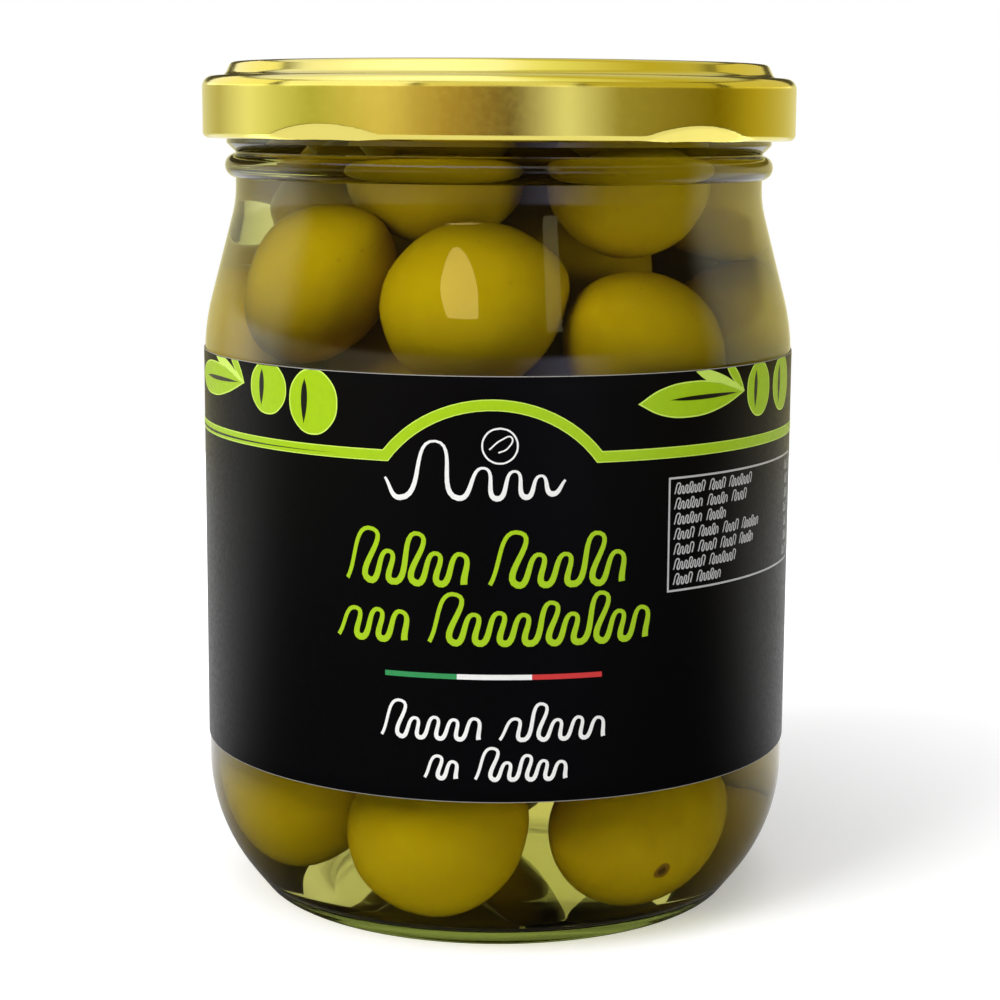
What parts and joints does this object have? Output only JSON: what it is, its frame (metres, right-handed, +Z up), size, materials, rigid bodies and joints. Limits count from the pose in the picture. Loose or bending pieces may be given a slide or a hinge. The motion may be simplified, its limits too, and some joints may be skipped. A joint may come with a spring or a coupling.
{
  "type": "jar of olives",
  "caption": "Clear glass jar with a gold twist-off lid and a black wrap-round label, filled with green olives in brine.",
  "frame": {"origin": "middle of the ring that the jar stands on", "axes": "+Z up along the jar's axis, -Y towards the front of the label"},
  "size_m": [0.0854, 0.0853, 0.1199],
  "materials": {
    "glass": "clear polished glass",
    "brine": "green olives in clear brine",
    "gold_lid": "gold lacquered tinplate, glossy",
    "label": "black paper, satin varnish",
    "olive": "green olive skin, smooth and wet",
    "print": "printed ink, satin"
  },
  "bodies": {
    "root": {"jar": "glass", "brine": "brine", "lid": "gold_lid", "label": "label"}
  },
  "joints": []
}
